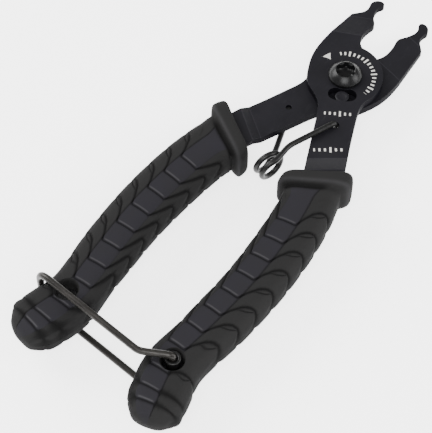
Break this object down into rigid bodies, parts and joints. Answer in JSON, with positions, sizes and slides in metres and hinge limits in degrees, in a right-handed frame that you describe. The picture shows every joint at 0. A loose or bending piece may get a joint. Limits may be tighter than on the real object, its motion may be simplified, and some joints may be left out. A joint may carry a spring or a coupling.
{
  "type": "chain tool",
  "caption": "Quick-link pliers with hooked chain nubs, tread-patterned rubber grips, a return spring and a wire bail that locks the handles.",
  "frame": {"origin": "on the pivot's axis, midway between the two arms' facing surfaces", "axes": "+Y towards the jaws, +X towards the front arm's handle, +Z out of the front face, along the pivot screw"},
  "size_m": [0.0593, 0.1661, 0.0196],
  "materials": {
    "black_steel": "satin black oxide",
    "spring_steel": "satin gunmetal",
    "gloss_black_steel": "gloss black",
    "zinc_steel": "dark zinc",
    "bronze": "plain",
    "nylon": "natural",
    "grip_rubber": "matte moulded"
  },
  "bodies": {
    "front_half": {"front_arm": "black_steel", "pivot_screw": "gloss_black_steel", "pivot_bush": "bronze", "friction_washer": "nylon", "nut_washer": "zinc_steel", "lock_nut": "zinc_steel", "nut_insert": "nylon", "right_grip": "grip_rubber", "bail_tube": "spring_steel", "return_spring": "spring_steel"},
    "back_half": {"back_arm": "black_steel", "stop_pin": "black_steel", "left_grip": "grip_rubber"},
    "bail": {"lock_bail": "spring_steel"}
  },
  "joints": [
    {"name": "handles_hinge", "type": "hinge", "parent": "front_half", "child": "back_half", "pos_m": [0, 0, 0], "axis": [0, 0, 1], "range_deg": [0, 10], "stiffness_Nm_per_rad": 0.8, "deforming": ["return_spring"]},
    {"name": "bail_swing", "type": "hinge", "parent": "front_half", "child": "bail", "pos_m": [0.0189, -0.1136, 0], "axis": [0, 0, 1], "range_deg": [0, 60]}
  ],
  "couplings": [
    {"joint": "bail_swing", "follows": "handles_hinge", "ratio": 6}
  ]
}
